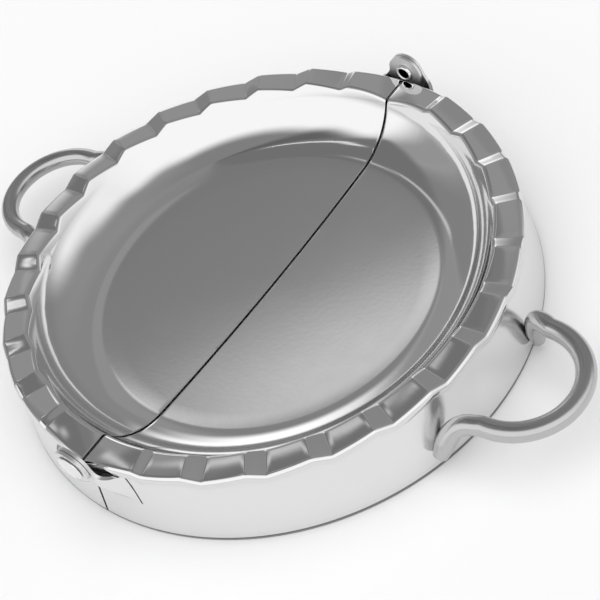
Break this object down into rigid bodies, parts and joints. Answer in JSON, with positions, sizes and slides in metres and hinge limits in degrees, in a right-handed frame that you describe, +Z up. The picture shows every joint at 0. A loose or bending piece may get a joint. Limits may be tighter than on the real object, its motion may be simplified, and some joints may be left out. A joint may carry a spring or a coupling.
{
  "type": "empanada press",
  "caption": "Folding stainless steel press with a crimped half dish on each side, hinged at both ends of the seam, on a split cutter ring with wire loop handles.",
  "frame": {"origin": "on the table, midway between the two hinge rivets, with the press opened flat", "axes": "+X from the seam towards the loop handle of the half that folds over, +Y along the hinge line towards the rear rivet, +Z up out of the dish"},
  "size_m": [0.1314, 0.102, 0.019],
  "materials": {
    "mould_steel": "stamped sheet, polished almost to a mirror",
    "ring_steel": "rolled strip, bright polish, ground bottom edge",
    "wire_steel": "drawn round wire, bright polish",
    "rivet_steel": "bright semi-tubular rivet"
  },
  "bodies": {
    "left_half": {"left_mould": "mould_steel", "left_ring": "ring_steel", "left_handle": "wire_steel", "front_rivet": "rivet_steel"},
    "right_half": {"right_mould": "mould_steel", "right_ring": "ring_steel", "right_handle": "wire_steel", "rear_rivet": "rivet_steel"}
  },
  "joints": [
    {"name": "fold_hinge", "type": "hinge", "parent": "left_half", "child": "right_half", "pos_m": [0, 0, 0.01555], "axis": [0, -1, 0], "range_deg": [0, 180]}
  ]
}
